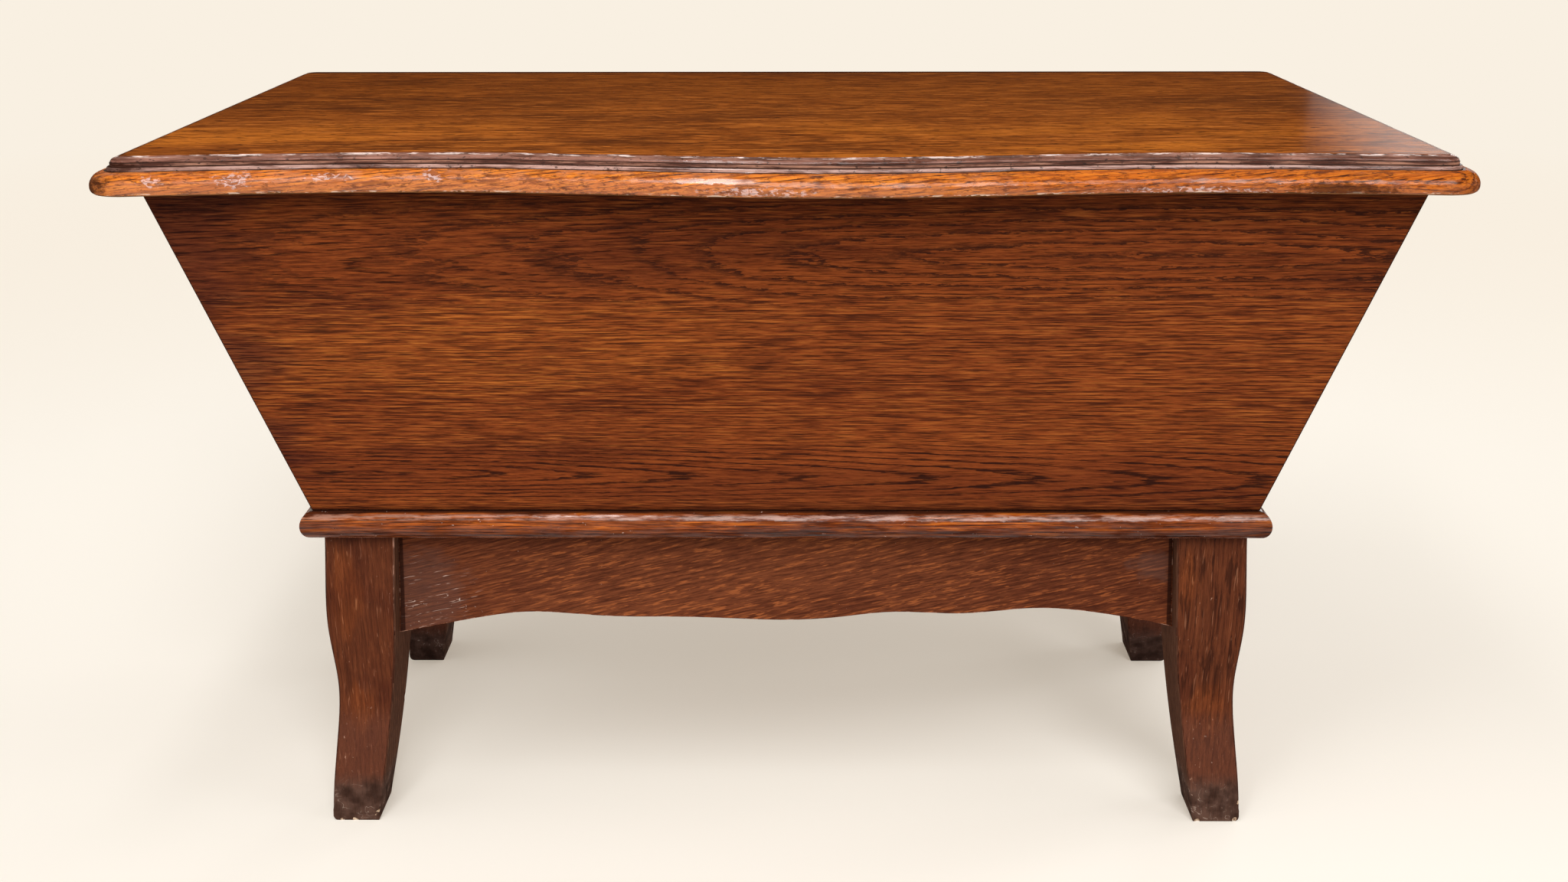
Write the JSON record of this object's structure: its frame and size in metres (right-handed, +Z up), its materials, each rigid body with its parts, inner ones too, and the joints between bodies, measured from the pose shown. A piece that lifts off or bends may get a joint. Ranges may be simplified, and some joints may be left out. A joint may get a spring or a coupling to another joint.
{
  "type": "dough trough chest",
  "caption": "Free-standing oak chest with a splayed trough, a hinged moulded lid with a bowed front edge, and a low base of shaped legs and aprons.",
  "frame": {"origin": "on the floor, below the centre of the lid's outline", "axes": "+X along the chest's length, +Y from the bowed front to the back, +Z up"},
  "size_m": [1.254, 0.674, 0.732],
  "materials": {
    "oak_lid": "brown stained oak under worn gloss varnish",
    "oak_panel": "red-brown stained oak under satin varnish",
    "oak_base": "dark stained oak, satin, scuffed near the floor",
    "oak_bare": "unfinished oak, darkened with age",
    "hinge_iron": "dark aged iron",
    "screw_steel": "dull aged steel"
  },
  "bodies": {
    "chest": {"leg_front_left": "oak_base", "leg_front_right": "oak_base", "leg_back_left": "oak_base", "leg_back_right": "oak_base", "apron_front": "oak_base", "apron_back": "oak_base", "apron_left": "oak_base", "apron_right": "oak_base", "apron_pegs": "oak_bare", "plinth_front": "oak_base", "plinth_back": "oak_base", "plinth_left": "oak_base", "plinth_right": "oak_base", "floor_bearers": "oak_bare", "plinth_screws": "screw_steel", "front_panel": "oak_panel", "back_panel": "oak_panel", "end_panel_left": "oak_panel", "end_panel_right": "oak_panel", "corner_dowels": "oak_bare", "floor_board_front": "oak_bare", "floor_board_middle": "oak_bare", "floor_board_back": "oak_bare", "floor_dowels": "oak_bare", "floor_screws": "screw_steel", "hinge_left_fixed_leaf": "hinge_iron", "hinge_left_pin": "hinge_iron", "hinge_left_fixed_screws": "screw_steel", "hinge_right_fixed_leaf": "hinge_iron", "hinge_right_pin": "hinge_iron", "hinge_right_fixed_screws": "screw_steel"},
    "lid": {"lid_board_front": "oak_lid", "lid_board_middle": "oak_lid", "lid_board_back": "oak_lid", "lid_tongues": "oak_bare", "lid_batten_left": "oak_bare", "lid_batten_right": "oak_bare", "batten_screws": "screw_steel", "hinge_left_lid_leaf": "hinge_iron", "hinge_left_lid_screws": "screw_steel", "hinge_right_lid_leaf": "hinge_iron", "hinge_right_lid_screws": "screw_steel"}
  },
  "joints": [
    {"name": "lid_hinge", "type": "hinge", "parent": "chest", "child": "lid", "pos_m": [0, 0.292, 0.699], "axis": [-1, 0, 0], "range_deg": [0, 107]}
  ]
}
